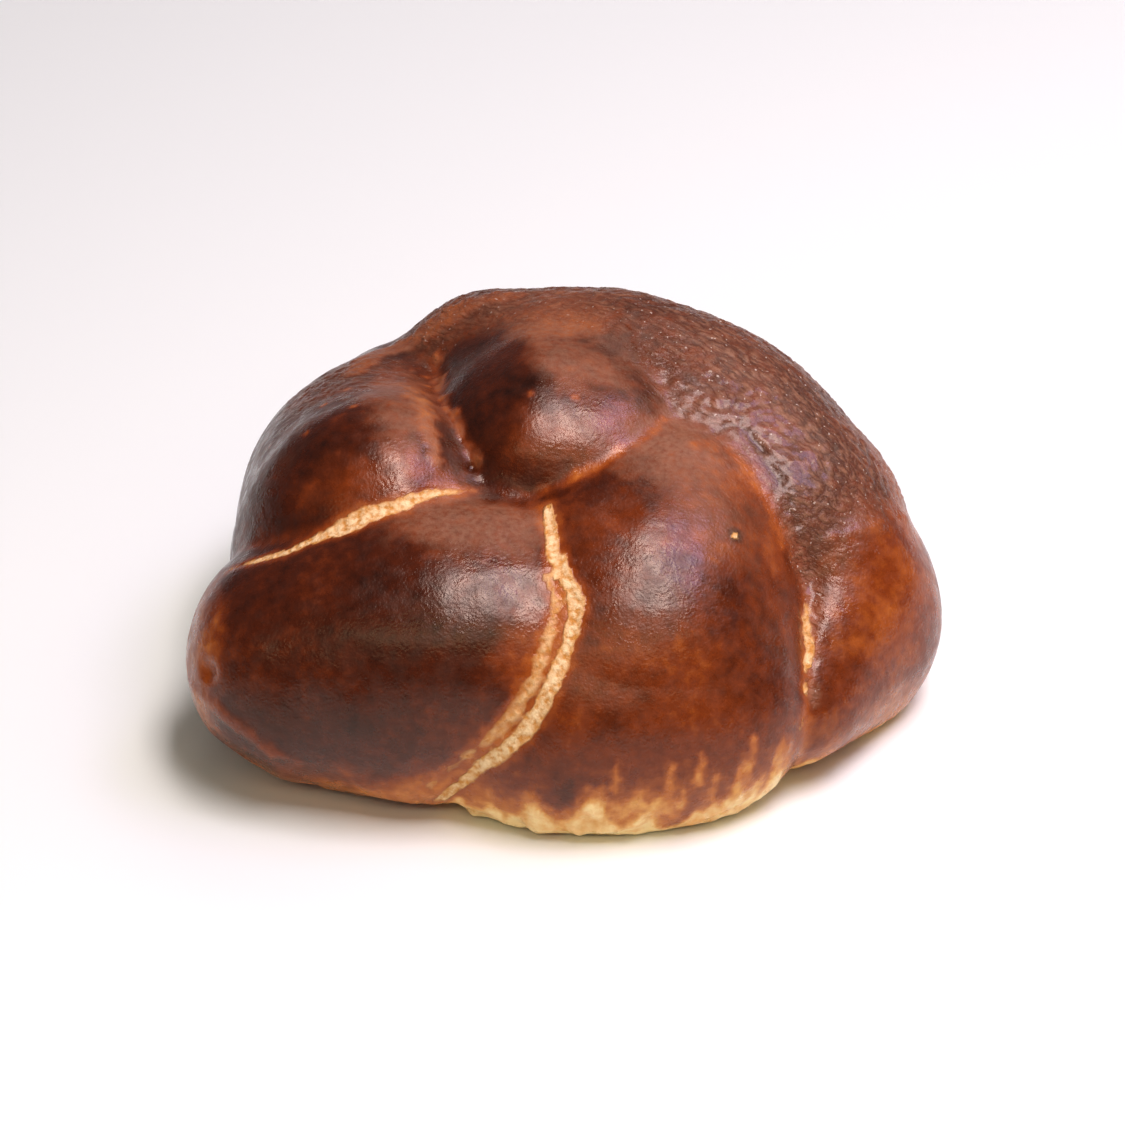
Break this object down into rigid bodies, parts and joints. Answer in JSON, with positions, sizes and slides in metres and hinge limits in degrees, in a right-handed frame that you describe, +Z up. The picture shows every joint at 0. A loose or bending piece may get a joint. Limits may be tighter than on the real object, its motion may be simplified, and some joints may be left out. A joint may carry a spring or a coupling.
{
  "type": "pretzel roll",
  "caption": "Knotted bread roll with a glossy dark brown crust, its turns of dough grown together around a central knob, resting on a flat base.",
  "frame": {"origin": "centre of the bounding box at the floor, under the middle of the flat base", "axes": "+Z up, +X across the roll at its widest, -Y towards the side that shows the knot's two front turns"},
  "size_m": [0.115, 0.0952, 0.0536],
  "materials": {
    "crust": null
  },
  "bodies": {
    "root": {"pretzel_roll": "crust"}
  },
  "joints": []
}
